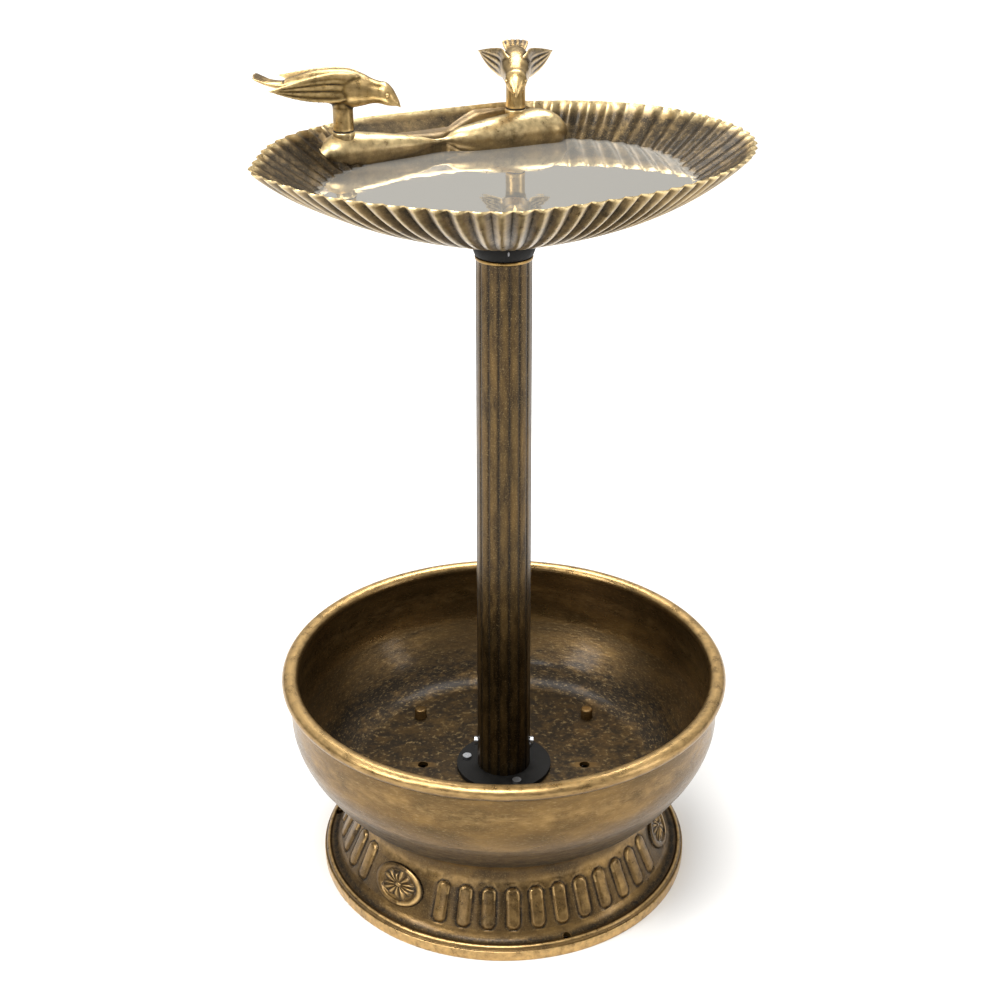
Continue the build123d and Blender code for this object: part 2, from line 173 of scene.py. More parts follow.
def skin(name, grid, joined=False, masks=None):
    """A closed skin over a grid of points in millimetres. Columns run round and meet. Rows meet too
    where joined is set, and otherwise each end is closed on the mean of its row. Faces are turned
    outwards by the sign of the enclosed volume, and masks are kept as point attributes."""
    rows, columns = grid.shape[:2]
    points = grid.reshape(-1, 3) / 1000
    number = np.arange(rows * columns).reshape(rows, columns)
    here = number if joined else number[:-1]
    above = np.roll(number, -1, 0) if joined else number[1:]
    quads = np.stack([here, np.roll(here, -1, 1), np.roll(above, -1, 1), above], -1).reshape(-1, 4)
    fans = np.empty((0, 3), int)
    if not joined:
        poles = np.stack([grid[0].mean(0), grid[-1].mean(0)]) / 1000
        first, last = np.full(columns, rows * columns), np.full(columns, rows * columns + 1)
        low = np.stack([first, np.roll(number[0], -1), number[0]], -1)
        high = np.stack([last, number[-1], np.roll(number[-1], -1)], -1)
        points, fans = np.vstack([points, poles]), np.vstack([low, high])
    corners = np.vstack([quads[:, [0, 1, 2]], quads[:, [0, 2, 3]], fans])
    a, b, c = (points[corners[:, k]] for k in range(3))
    if np.einsum("ij,ij->i", a, np.cross(b, c)).sum() < 0:
        quads, fans = quads[:, ::-1], fans[:, ::-1]
    mesh = bpy.data.meshes.new(name)
    mesh.from_pydata(points.tolist(), [], quads.tolist() + fans.tolist())
    mesh.shade_smooth()
    for mask, values in (masks or {}).items():
        values = np.broadcast_to(values, (rows, columns)).astype(float)
        at_poles = [] if joined else [values[0].mean(), values[-1].mean()]
        keep_mask(mesh, mask, np.append(values.ravel(), at_poles))
    piece = bpy.data.objects.new(name, mesh)
    bpy.context.scene.collection.objects.link(piece)
    return piece


def turned(radius, height, turn):
    """Places on a body of revolution: radius and height, with the turn in degrees from the front
    towards the right, broadcast together."""
    radius, height, turn = np.broadcast_arrays(radius, height, np.radians(turn))
    return np.stack([radius * np.sin(turn), -radius * np.cos(turn), height], -1)


def bump_at(x, centre, width):
    """A bell: 1 at the centre, falling off with the square of the distance over the width."""
    return np.exp(-(((x - centre) / width) ** 2))


def cut(piece, *cutters):
    """The piece less the cutters, worked out once and kept as its mesh."""
    for cutter in cutters:
        tool = piece.modifiers.new("cut", "BOOLEAN")
        tool.operation, tool.solver, tool.object = "DIFFERENCE", "EXACT", cutter
    shape = piece.evaluated_get(bpy.context.evaluated_depsgraph_get())
    mesh = bpy.data.meshes.new_from_object(shape)
    piece.modifiers.clear()
    piece.data = mesh
    for cutter in cutters:
        bpy.data.objects.remove(cutter)
    mesh.shade_smooth()
    mesh.set_sharp_from_angle(angle=np.radians(50))


def rod(name, x, y, radius, low, high):
    """Upright round bar between two heights."""
    turn = np.linspace(0, 2 * np.pi, 48, endpoint=False)
    ring = np.stack([x + radius * np.cos(turn), y + radius * np.sin(turn)], -1)
    grid = np.stack([np.insert(ring, 2, level, axis=1) for level in (low, high)])
    return skin(name, grid)


def antique_bronze(
    name, streak=(1, 1, 1), brush=(1, 1, 1),
    gold="#d2ad72", body="#6a522f", dark="#392c1a", pale="#876a3c",
):
    """Antique bronze paint on a moulding: a brown metallic coat sponged over gold and rubbed back.
    The eye sees cloudy patches 20 to 40 mm across, gold on the edges that the cloth reached, brown
    wax left in the hollows, and a fine speckle under clear lacquer. On some pieces the same gold
    also paints highlights and the same brown paints shade, where their masks put it. streak
    stretches the clouds along the piece, and brush the speckle."""
    material, tree, out = finish_named(name)
    place = add(tree, "TexCoord").outputs["Object"]
    along = add(tree, "Mapping", {"Vector": place, "Scale": streak}).outputs["Vector"]
    clouds = add(
        tree, "TexNoise", {"Vector": along, "Scale": 38.0, "Detail": 6.0, "Roughness": 0.62}
    )
    patches = add(
        tree, "TexNoise", {"Vector": along, "Scale": 150.0, "Detail": 5.0, "Roughness": 0.65}
    )
    brushed = add(tree, "Mapping", {"Vector": place, "Scale": brush}).outputs["Vector"]
    speckle = add(
        tree, "TexNoise", {"Vector": brushed, "Scale": 900.0, "Detail": 3.0, "Roughness": 0.7}
    )
    # The first mask carries rubbed edges and, on some pieces, painted highlights; the second
    # carries wax in the hollows and, on some pieces, painted shade.
    wear_and_highlight = add(tree, "Attribute", attribute_name="wear_and_highlight").outputs["Fac"]
    wax_and_shade = add(tree, "Attribute", attribute_name="wax_and_shade").outputs["Fac"]
    coat = add(
        tree, "ValToRGB", {"Fac": clouds.outputs["Fac"]}, [(0.3, dark), (0.5, body), (0.74, pale)]
    )
    broken = add(tree, "Math", {0: wear_and_highlight, 1: patches.outputs["Fac"]}, operation="MULTIPLY")
    rubbed = add(tree, "MapRange", {0: broken.outputs[0], 1: 0.12, 2: 0.5})
    gilt_and_highlight = add(
        tree, "Mix", {0: rubbed.outputs[0], 6: coat.outputs["Color"], 7: linear(gold)},
        data_type="RGBA",
    )
    # Brown wax in the hollows, and painted shade where a piece's mask puts it.
    left = add(tree, "Math", {0: wax_and_shade, 1: patches.outputs["Fac"]}, operation="MULTIPLY")
    wax = add(tree, "MapRange", {0: left.outputs[0], 1: 0.08, 2: 0.5, 4: 0.92})
    waxed_and_shaded = add(
        tree, "Mix", {0: wax.outputs[0], 6: gilt_and_highlight.outputs[2], 7: linear("#1d1914")}, data_type="RGBA"
    )
    dots = add(tree, "MapRange", {0: speckle.outputs["Fac"], 1: 0.55, 2: 0.75, 4: 0.5})
    colour = add(
        tree, "Mix", {0: dots.outputs[0], 6: waxed_and_shaded.outputs[2], 7: linear("#b09668")},
        data_type="RGBA",
    )
    shine = add(tree, "MapRange", {0: patches.outputs["Fac"], 1: 0.3, 2: 0.7, 3: 0.24, 4: 0.4})
    dull = add(tree, "Math", {0: wax_and_shade, 1: 0.2, 2: shine.outputs[0]}, operation="MULTIPLY_ADD")
    fine = add(
        tree, "Bump", {"Height": speckle.outputs["Fac"], "Strength": 0.22, "Distance": 0.0003}
    )
    soft = add(
        tree, "Bump", {"Height": patches.outputs["Fac"], "Strength": 0.3, "Distance": 0.0012,
                       "Normal": fine.outputs["Normal"]}
    )
    face = add(
        tree, "BsdfPrincipled",
        {"Base Color": colour.outputs[2], "Metallic": 0.85, "Roughness": dull.outputs[0],
         "Normal": soft.outputs["Normal"], "Coat Weight": 0.12, "Coat Roughness": 0.16},
    )
    tree.links.new(face.outputs[0], out.inputs["Surface"])
    return material


deck = 85.5
lip_line = [
    (136, deck), (142.6, deck), (144.2, 85), (144.4, 83.8), (142.8, 82.9), (142, 81.5), (139.2, 74),
    (138.2, 67), (139.2, 60), (141.5, 55),
]
edge_line = [
    (158.5, 20), (160.2, 17.2), (162.6, 14.6), (165.4, 12.7), (168.0, 12.0), (169.2, 12.5),
    (170.2, 13.5), (171.4, 14), (173.2, 12.6), (173.6, 11), (173.9, 10.4), (175.2, 9.8),
    (175.5, 8.5), (175.5, 1.2), (174.8, 0),
]
inner_line = [
    (172.6, 0), (172.3, 0.8), (172.3, 8.8), (161.5, 9.3), (155.5, 18.8), (147, 36.3), (138.4, 53.6),
    (135, 67), (138.8, 80), (134, 82.3), (95, 82.3), (95, 85.4), (110, deck),
]
wall_low, wall_high = np.array([158.5, 20.0]), np.array([141.5, 55.0])
wall_radius = 0.5 * (wall_low + wall_high)[0]
wall_length = np.linalg.norm(wall_high - wall_low)
wall_way = (wall_high - wall_low) / wall_length
wall_out = np.array([wall_way[1], -wall_way[0]])
wall_rows = wall_high - np.linspace(0, wall_length, 40)[1:-1, None] * wall_way
foot_line = np.vstack([flow(lip_line, 3), wall_rows, flow(edge_line, 3), inner_line])
stake_turns, stake_circle, stake_hole = (20, 140, 260), 166.5, 3.6
ribs_in_run, rib_pitch = 11, 8.43
rib_turns = np.array([
    middle + (k - ribs_in_run // 2) * rib_pitch
    for middle in stake_turns for k in range(ribs_in_run)
])
rib_steps = np.degrees(np.array([0, 3.0, 4.6, 5.3, 5.8, 6.3, 6.9, 8.0, 11.0]) / wall_radius)
foot_turns = np.concatenate([
    *(rib_turns + step for step in rib_steps), *(rib_turns - step for step in rib_steps),
    np.arange(0, 360, 2.0),
]) % 360
foot_turns = np.unique(np.round(foot_turns * 3)) / 3
foot_radius, foot_height = foot_line[:, :1], foot_line[:, 1:]
along = (foot_line - wall_low) @ wall_way
out_of_wall = (foot_line - wall_low) @ wall_out
on_wall = ((along > -1) & (along < wall_length + 1) & (np.abs(out_of_wall) < 0.5))[:, None]
rib_width, rib_rise, rib_half = 6.2, 1.9, 12.8
to_rib = np.abs((foot_turns[:, None] - rib_turns + 180) % 360 - 180).min(1)
aside = np.radians(to_rib) * foot_radius
beyond = np.maximum(np.abs(along[:, None] - 0.5 * wall_length) - rib_half, 0)
from_rib = np.hypot(aside, beyond)
relief = rib_rise * (1 - np.clip((from_rib / rib_width) ** 5, 0, 1)) ** 0.7
rib_moat = 0.7 * bump_at(from_rib, rib_width + 0.9, 0.9)
relief = np.where(on_wall, relief - rib_moat, 0)
foot_grid = turned(
    foot_radius + relief * wall_out[0], foot_height + relief * wall_out[1], foot_turns
)
ridges = (
    bump_at(foot_height, 85, 1.6) * (foot_radius > 141)
    + bump_at(foot_radius, 171.4, 1.5) * bump_at(foot_height, 13.6, 3)
    + 0.8 * bump_at(foot_radius, 175.5, 0.8)
    + 0.35 * bump_at(foot_radius, 140, 6) * bump_at(foot_height, 58, 9)
)
# Gold on the upper rim of each rib: rubbed wear, and a painted highlight where light from above
# catches it.
lit_rib_tops = bump_at(from_rib, 5.4, 0.7) * (along[:, None] > 0.7 * wall_length)
foot_wear_and_highlight = np.maximum(0.3 * relief / rib_rise + 0.6 * lit_rib_tops, ridges)
between_ribs = (from_rib > 6.6) * (foot_height < 52)
# Wax in the moat round each rib, between the ribs and in the edge groove; painted shade under the
# roll of the lip and round the neck, below the planter bowl.
foot_wax_and_shade = (
    np.where(on_wall, bump_at(from_rib, 7.0, 0.9) + 0.45 * between_ribs, 0)
    + 0.9 * bump_at(foot_radius, 165, 4) * bump_at(foot_height, 13, 4)
    + 0.9 * bump_at(foot_radius, 142, 2) * bump_at(foot_height, 81.5, 2.5)
    + 0.5 * bump_at(foot_height, 68, 8)
)
foot = skin("foot", foot_grid, joined=True, masks={"wear_and_highlight": foot_wear_and_highlight, "wax_and_shade": foot_wax_and_shade})
stakes = [turned(stake_circle, 0, turn)[:2] for turn in stake_turns]
cut(foot, *[rod("stake_hole", x, y, stake_hole, -2, 30) for x, y in stakes])
foot_bronze = antique_bronze("foot_antique_bronze_paint")
foot.data.materials.clear()
foot.data.materials.append(foot_bronze)
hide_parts("foot")
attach(foot, "stand")

# ---- Foot rosettes ------------------------------------------------------------------------------
# Three oval medallions stand on the wall between the runs of ribs. Each is moulded with the wall: a
# rolled rim, twelve petals and a button, picked out in gold with dark wax between the petals. The
# right side of the rim is gilded as a painted highlight, and painted shadow runs round the edge.


def on_foot_wall(turn, aside, up, proud):
    """Places on the sloping wall: aside round it from a turn in degrees, up from its middle, and
    proud of it, all in millimetres, rolled onto the cone."""
    middle = 0.5 * (wall_low + wall_high)
    radius = middle[0] + up * wall_way[0] + proud * wall_out[0]
    height = middle[1] + up * wall_way[1] + proud * wall_out[1]
    return turned(radius, height, turn + np.degrees(aside / middle[0]))


rosette_half_width, rosette_half_height = 28.0, 18.5
rim_share = [1.02, 1.02, 1.0, 0.985, 0.965, 0.94, 0.91, 0.88, 0.85, 0.81]
share = np.concatenate([rim_share, np.linspace(0.77, 0.02, 30)])[:, None]
spin = np.linspace(0, 2 * np.pi, 192, endpoint=False)[None]
rim_roll = 1.9 * np.sqrt(np.clip(1 - ((share - 0.86) / 0.15) ** 2, 0, 1))
uneven = 1 + 0.14 * np.sin(5 * spin + 1) + 0.08 * np.sin(9 * spin)
reach = np.clip((share - 0.1) / (0.56 * uneven), 0, 1)
petal = np.abs(np.cos(6.5 * spin + 0.4 * np.sin(3 * spin))) ** 1.5
petal = petal * np.sin(np.pi * reach) ** 0.6
button = 1.2 * np.sqrt(np.clip(1 - (share / 0.12) ** 2, 0, 1))
proud = 0.7 + rim_roll + 1.5 * petal + button
proud[0] = -2.4
proud[1] = -0.4
# Gold on the right side of the rim only: a painted highlight.
rim_lit_side = bump_at(share, 0.88, 0.06) * (np.cos(spin) > 0.2)
rosette_wear_and_highlight = 0.7 * petal + 0.12 * rim_roll + button / 2.0 + 0.8 * rim_lit_side
# Wax between the petals, and a painted shadow round the outer edge.
rosette_wax_and_shade = 0.8 * (1 - petal) * (reach < 1) * (share > 0.1) + bump_at(share, 1.0, 0.03)
for label, turn in (("front", -40), ("right", 80), ("left", 200)):
    grid = on_foot_wall(
        turn, rosette_half_width * share * np.cos(spin), rosette_half_height * share * np.sin(spin),
        proud,
    )
    rosette = skin(
        f"foot_rosette_{label}", grid, masks={"wear_and_highlight": rosette_wear_and_highlight, "wax_and_shade": rosette_wax_and_shade}
    )
    rosette.data.materials.append(foot_bronze)
    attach(rosette, "stand")

# ---- Planter bowl -------------------------------------------------------------------------------
# A bellied bowl with a thick rolled rim stands on the foot's deck. It is the same painted moulding,
# with four drain holes in its floor and four bosses that take the screws from below.
belly = [
    (138, deck), (142.5, 85.6), (150, 88.9), (158.5, 92.8), (166.5, 97.2), (176, 108), (184, 120),
    (190.8, 131), (195.8, 142.5), (198.8, 154), (199.5, 164), (199.3, 176), (198.9, 186),
    (198.7, 192.6),
]
bead_radius, bead_level, bead_across, bead_up = 199.1, 200.0, 7.5, 6.5
bead_turn = np.radians(np.linspace(-92, 205, 30))
bead_line = np.stack([
    bead_radius + bead_across * np.cos(bead_turn), bead_level + bead_up * np.sin(bead_turn)
], -1)
bowl_floor = 89.5
lining = [
    (192.6, 195), (193.6, 188), (195.6, 176), (196.2, 164), (195.2, 152), (191.6, 140), (183, 124),
    (173.5, 110.5), (164.5, 100.8), (152, 93.5), (141, 89.9), (136, bowl_floor),
]
floor_steps = np.array([0.05, 12, 24, 36, 48, 62, 78, 95, 112, 126])
bowl_line = np.vstack([
    np.stack([floor_steps, np.full_like(floor_steps, deck)], -1), flow(belly, 5), bead_line,
    flow(lining, 3), np.stack([floor_steps[::-1], np.full_like(floor_steps, bowl_floor)], -1),
])
bowl_turns = np.arange(0, 360, 1.25)
bowl_radius, bowl_height = bowl_line[:, :1], bowl_line[:, 1:]
waves = 0.35 * np.sin(np.radians(3 * bowl_turns + 40)) + 0.25 * np.sin(np.radians(5 * bowl_turns))
waves = waves * bump_at(bowl_height, 150, 40) * (bowl_radius > 150)
bowl_worn = (
    0.95 * bump_at(bowl_height, 206, 2.6) + 0.4 * bump_at(bowl_radius, 206.5, 1.0)
    + 0.3 * bump_at(bowl_height, 172, 18)
)
# Painted shade: a shadow line under the rim's bead, a band low on the bowl near the deck, and all
# within 192 mm of the axis from 89 to 150 mm up, inside the bowl and on its lower belly.
bowl_painted_shade = (
    0.8 * bump_at(bowl_height, 192.5, 2.2) * (bowl_radius > 196)
    + 0.5 * bump_at(bowl_height, 98, 16)
    + 0.5 * (bowl_radius < 192) * (bowl_height > 89) * (bowl_height < 150)
)
bowl = skin(
    "planter_bowl", turned(bowl_radius + waves, bowl_height, bowl_turns),
    masks={"wear_and_highlight": bowl_worn, "wax_and_shade": bowl_painted_shade},
)
drain_circle, drain_hole = 78, 5.0
drains = [turned(drain_circle, 0, turn)[:2] for turn in (90, 180, 270, 0)]
cut(bowl, *[rod("drain_hole", x, y, drain_hole, 80, 95) for x, y in drains])
bowl_bronze = antique_bronze(
    "bowl_antique_bronze_paint", streak=(0.5, 0.5, 1.6), brush=(0.25, 0.25, 1.4), dark="#574426"
)
bowl.data.materials.clear()
bowl.data.materials.append(bowl_bronze)
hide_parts("planter_bowl")
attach(bowl, "stand")
boss_circle = 118.5
boss_line = np.array([
    (0.05, 88), (6.6, 88), (6.3, 90.5), (6.0, 93), (6.0, 98.4), (5.4, 99.4), (4.4, 99.5),
    (0.05, 99.5),
])
for number, turn in enumerate((45, 135, 225, 315)):
    x, y = turned(boss_circle, 0, turn)[:2]
    grid = turned(boss_line[:, :1], boss_line[:, 1:], np.arange(0, 360, 10)) + (x, y, 0)
    boss = skin(f"bowl_screw_boss_{number + 1}", grid, masks={"wear_and_highlight": 0.2, "wax_and_shade": 0.2})
    boss.data.materials.append(bowl_bronze)
    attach(boss, "stand")

# ---- Column -------------------------------------------------------------------------------------
# The column is a reeded tube, sixteen flat reeds with narrow grooves between them, a little wider
# at its foot, with a thin raised lip round its top. Its paint is darker, streaked along its length.
column_foot, column_top = 93.5, 600.0
foot_end_radius, column_taper, column_bore, lip_radius = 25.1, 1.4, 20.0, 24.6
reeds, groove_depth = 16, 0.8
reed_turns = np.arange(0, 360, 360 / (16 * reeds))
to_groove = np.abs(2 * ((reed_turns * reeds / 360 + 0.5) % 1 - 0.5))
column_levels = np.concatenate([[column_foot], np.linspace(column_foot + 0.6, 596.6, 48)])
up_column = (column_levels - column_foot) / (column_top - column_foot)
column_radii = foot_end_radius - column_taper * up_column
column_radii[0] -= 0.5
lip = np.array([
    (23.9, 597.2), (24.4, 597.4), (lip_radius, 598.0), (lip_radius, 599.3), (24.3, 599.9),
    (22.0, column_top), (21.6, 599.8), (21.55, 598.0), (20.2, 598.0), (column_bore, 597.5),
    (column_bore, 350.0), (column_bore, column_foot + 0.4), (20.4, column_foot),
])
column_line = np.vstack([np.stack([column_radii, column_levels], -1), lip])
column_radius, column_level = column_line[:, :1], column_line[:, 1:]
reeded = np.repeat([1.0, 0.0], [len(column_levels), len(lip)])[:, None]
lip_gilt = bump_at(column_radius, lip_radius, 0.4) * (1 - reeded)
column_worn = 0.34 * reeded * (1 - to_groove**4) + lip_gilt
column_hollow = reeded * (0.2 + 0.7 * to_groove**6)
column = skin(
    "column",
    turned(column_radius - groove_depth * to_groove**8 * reeded, column_level, reed_turns),
    joined=True, masks={"wear_and_highlight": column_worn, "wax_and_shade": column_hollow},
)
column.data.materials.append(antique_bronze(
    "column_antique_bronze_paint", streak=(1, 1, 0.35),
    gold="#9c7d48", body="#382a16", dark="#20180d", pale="#513c1d",
))
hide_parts("column")
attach(column, "stand")

# ---- Column fixings -----------------------------------------------------------------------------
# The column slips over a flanged plug of black plastic, screwed to the bowl's floor, and a plain
# bush in its top carries the collar. The moulded plastic has a fine grain of half a millimetre.


def black_plastic(name, grain_scale):
    """Black moulded polypropylene: near-black, half matt, with a fine pebbled grain and faint
    scuffs."""
    material, tree, out = finish_named(name)
    place = add(tree, "TexCoord").outputs["Object"]
    grain = add(tree, "TexNoise", {"Vector": place, "Scale": grain_scale, "Detail": 2.0})
    scuffs = add(
        tree, "TexNoise", {"Vector": place, "Scale": 90.0, "Detail": 5.0, "Distortion": 1.2}
    )
    tone = add(
        tree, "ValToRGB", {"Fac": scuffs.outputs["Fac"]}, [(0.35, "#0b0a09"), (0.7, "#171614")]
    )
    shine = add(tree, "MapRange", {0: scuffs.outputs["Fac"], 1: 0.3, 2: 0.7, 3: 0.5, 4: 0.7})
    relief = add(
        tree, "Bump", {"Height": grain.outputs["Fac"], "Strength": 0.35, "Distance": 0.0002}
    )
    face = add(
        tree, "BsdfPrincipled",
        {"Base Color": tone.outputs["Color"], "Roughness": shine.outputs[0],
         "Normal": relief.outputs["Normal"], "Specular IOR Level": 0.2},
    )
    tree.links.new(face.outputs[0], out.inputs["Surface"])
    return material


def zinc_steel():
    """Zinc-plated steel screws and washers: pale grey, with turned marks 0.8 mm apart and a faint
    spangle."""
    material, tree, out = finish_named("zinc_plated_steel")
    place = add(tree, "TexCoord").outputs["Object"]
    marks = add(
        tree, "TexWave", {"Vector": place, "Scale": 400.0, "Distortion": 2.0, "Detail": 2.0},
        bands_direction="Z",
    )
    spangle = add(tree, "TexVoronoi", {"Vector": place, "Scale": 700.0})
    tone = add(
        tree, "ValToRGB", {"Fac": spangle.outputs["Distance"]}, [(0.0, "#9c9fa3"), (0.9, "#c4c6c8")]
    )
    shine = add(tree, "MapRange", {0: marks.outputs["Fac"], 3: 0.24, 4: 0.4})
    relief = add(
        tree, "Bump", {"Height": marks.outputs["Fac"], "Strength": 0.2, "Distance": 0.0001}
    )
    face = add(
        tree, "BsdfPrincipled",
        {"Base Color": tone.outputs["Color"], "Metallic": 1.0, "Roughness": shine.outputs[0],
         "Normal": relief.outputs["Normal"]},
    )
    tree.links.new(face.outputs[0], out.inputs["Surface"])
    return material


def seal_rubber():
    """Black rubber seals: matt, a soft bloom of grey in patches about 6 mm across."""
    material, tree, out = finish_named("black_seal_rubber")
    place = add(tree, "TexCoord").outputs["Object"]
    bloom = add(tree, "TexNoise", {"Vector": place, "Scale": 160.0, "Detail": 4.0})
    tone = add(
        tree, "ValToRGB", {"Fac": bloom.outputs["Fac"]}, [(0.35, "#141414"), (0.7, "#262524")]
    )
    relief = add(
        tree, "Bump", {"Height": bloom.outputs["Fac"], "Strength": 0.3, "Distance": 0.0002}
    )
    face = add(
        tree, "BsdfPrincipled",
        {"Base Color": tone.outputs["Color"], "Roughness": 0.8, "Normal": relief.outputs["Normal"]},
    )
    tree.links.new(face.outputs[0], out.inputs["Surface"])
    return material


def dress(material, *names):
    """Gives kept nodes of the model a material, in the slots that they already have."""
    for name in names:
        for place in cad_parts[name].material_slots:
            place.material = material


plastic = black_plastic("black_moulded_plastic", 1900.0)
dress(plastic, "column_socket", "column_bush")
dress(
    zinc_steel(), "bowl_screws", "bowl_screw_washers", "socket_screws", "column_screws",
    "bird_left_screw", "bird_left_washer", "bird_rear_screw", "bird_rear_washer",
)
dress(seal_rubber(), "bird_left_seal", "bird_rear_seal")

# ---- Collar -------------------------------------------------------------------------------------
# A black plastic collar turns in the bush: a band with rounded edges that stands between the column
# and the basin, a hollow journal below it and a peg above. A small grey tick on its front marks it.
band_radius, journal_radius, journal_bore, collar_peg = 26.5, 15.0, 11.8, 17.0
collar_line = np.array([
    (journal_bore, 562.2), (14.7, 562.0), (journal_radius, 562.6), (journal_radius, 599.9),
    (15.2, 600.4), (23.8, 600.5), (24.6, 601.1), (25.3, 602.8), (26.2, 605.2), (band_radius, 607.0),
    (band_radius, 610.9), (26.2, 612.0), (25.4, 612.4), (17.4, 612.5), (collar_peg, 613.0),
    (collar_peg, 619.9), (16.5, 620.4), (0.05, 620.5), (0.05, 602.0), (11.0, 602.0),
    (journal_bore, 601.0), (journal_bore, 580.0),
])
collar_grid = turned(collar_line[:, :1], collar_line[:, 1:], np.arange(0, 360, 2.5))
collar = skin("basin_collar", collar_grid, joined=True)
collar.data.materials.append(plastic)
tick_level, tick_heading, tick_half_height, tick_half_width = 608.4, 8, 1.9, 0.8
tick_spin = np.linspace(0, 2 * np.pi, 24, endpoint=False)
tick_grid = np.stack([
    turned(
        band_radius - 0.2 + 0.75 * rise, tick_level + size * tick_half_height * np.sin(tick_spin),
        tick_heading + np.degrees(size * tick_half_width * np.cos(tick_spin) / band_radius),
    )
    for rise, size in ((-0.4, 1.0), (0.6, 1.0), (0.9, 0.9), (1.0, 0.6), (1.0, 0.1))
])
tick = skin("collar_tick", tick_grid)
grey, tree, out = finish_named("grey_printed_mark")
print_coat = add(tree, "TexNoise", {"Scale": 1500.0, "Detail": 2.0})
print_tone = add(
    tree, "ValToRGB", {"Fac": print_coat.outputs["Fac"]}, [(0.3, "#77777a"), (0.7, "#9a9a9d")]
)
face = add(tree, "BsdfPrincipled", {"Base Color": print_tone.outputs["Color"], "Roughness": 0.5})
tree.links.new(face.outputs[0], out.inputs["Surface"])
tick.data.materials.append(grey)
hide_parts("basin_collar")
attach(collar, "collar")
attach(tick, "collar")

# ---- Basin --------------------------------------------------------------------------------------
# The basin is a scallop shell about 400 mm wide and 72 mm deep, a thin moulding fluted inside and
# out, with a scalloped rim rubbed to bright gold. It sits over the collar's peg and lifts off to be
# washed. Screws from below hold the birds, whose washers have pockets in its wall.
shell_centre, shell_turn = np.array([9.4, 13.6]), np.radians(26.5)
hub_radius, basin_foot, basin_rim, shell_wall = 26.0, 612.8, 684.3, 1.8
half_width, half_depth_front, half_depth_back, back_power = 209.0, 167.0, 168.7, 2.27
hinge_cut = 163.6
flute_count = 72
bird_places = {"left": (-137.0, 83.0, 0.0), "rear": (10.6, 171.7, -90.0)}
washer_pocket = (*bird_places["left"][:2], 7.0, 630, 662.3)


def rim_reach(angle):
    """Plan of the rim, as a distance from the shell's middle at an angle in degrees: a squared
    ellipse, deeper and squarer behind, cut straight along the hinge, with a lobe and an ear."""
    c, s = np.cos(np.radians(angle)), np.sin(np.radians(angle))
    depth = np.where(s > 0, half_depth_back, half_depth_front)
    power = np.where(s > 0, back_power, 1.94)
    reach = ((np.abs(c) / half_width) ** power + (np.abs(s) / depth) ** power) ** (-1 / power)
    reach = np.where(s > 0.2, np.minimum(reach, hinge_cut / np.maximum(s, 0.2)), reach)
    return reach + 12 * bump_at(angle % 360, 240, 18) + 10 * bump_at(angle % 360, 173, 8)


def shell_rise(share, angle=0.0):
    """Rise of the shell from its foot, as a part of its depth: straight at first, then turned up
    near the rim, with a steeper wall behind its right half and a flatter one at its left end."""
    turn = np.mod(angle, 360)
    steep = bump_at(turn, 45, 34)
    straight = 0.54 - 0.2 * steep + 0.04 * bump_at(turn, 190, 40)
    return straight * share + (1 - straight) * share ** (3.8 + 3.4 * steep)


def from_shell(u, v):
    """Places in plan from the shell's own axes: u along the hinge, v from the middle towards it."""
    x = shell_centre[0] + u * np.cos(shell_turn) - v * np.sin(shell_turn)
    y = shell_centre[1] + u * np.sin(shell_turn) + v * np.cos(shell_turn)
    return x, y


def at_reach(reach, angle):
    """Places in plan at a distance from the shell's middle and an angle from its axis u."""
    return from_shell(reach * np.cos(np.radians(angle)), reach * np.sin(np.radians(angle)))


def growth(share):
    """How deep the flutes are at a share of the way to the rim: none at the hub, full at 0.58."""
    return np.clip((share - 0.08) / 0.5, 0, 1) ** 0.8


shell_angles = np.arange(0, 360, 360 / (12 * flute_count))[None]
flute_place = (shell_angles * flute_count / 360 + 0.5) % 1 - 0.5
from_hinge = np.abs((shell_angles - 90 + 180) % 360 - 180)
fluted = np.clip((from_hinge - 26) / 10, 0, 1)
scallop = np.abs(np.cos(np.pi * flute_place)) ** 0.9 - 0.62
wave = 0.5 * np.cos(2 * np.pi * flute_place) - 0.12


def shell_place(share, lift, inset, relief, soft):
    """Places on the shell at a share of the way from its hub circle to its rim, lifted, drawn in,
    and pushed outwards and down by the relief of the flutes. soft turns the cusped flutes into even
    waves."""
    flute = fluted * (scallop + (wave - scallop) * soft)
    reach = rim_reach(shell_angles) - inset + relief * flute
    x, y = at_reach(reach, shell_angles)
    out = np.hypot(x, y)
    here = hub_radius * (1 - share) + share * out
    level = basin_foot + (basin_rim - basin_foot) * shell_rise(share, shell_angles) + lift
    level = level - 0.55 * relief * flute * np.clip(share * 1.2, 0, 1) * (share < 0.999)
    return np.stack([x / out * here, y / out * here, level + 0 * out], -1)


outer_share = np.concatenate([[0.0, 0.02], np.linspace(0.06, 0.94, 26), [0.965, 0.985, 1.0]])
inner_share = np.concatenate([[1.0, 0.985, 0.96], np.linspace(0.93, 0.2, 24)])
outer_share, inner_share = outer_share[:, None], inner_share[:, None]
thinned = 1 - 0.7 * np.clip((inner_share - 0.88) / 0.12, 0, 1)
outer_relief, inner_relief = 3.6, 2.4
outer = shell_place(outer_share, 0.0, 0.0, outer_relief * growth(outer_share), 0.25)
inner_soft = np.clip((1 - inner_share) / 0.06, 0.25, 1)
inner = shell_place(
    inner_share, shell_wall * thinned, 1.9 * thinned, inner_relief * growth(inner_share), inner_soft
)
edge = 0.5 * (outer[-1:] + inner[:1]) + (0, 0, 0.5)
under_hub = outer[:1] * (0.05, 0.05, 1.0)
inner_floor = inner[-1:] * (0.55, 0.55, 1.0)
floor_middle = inner_floor * (0.1, 0.1, 1.0)
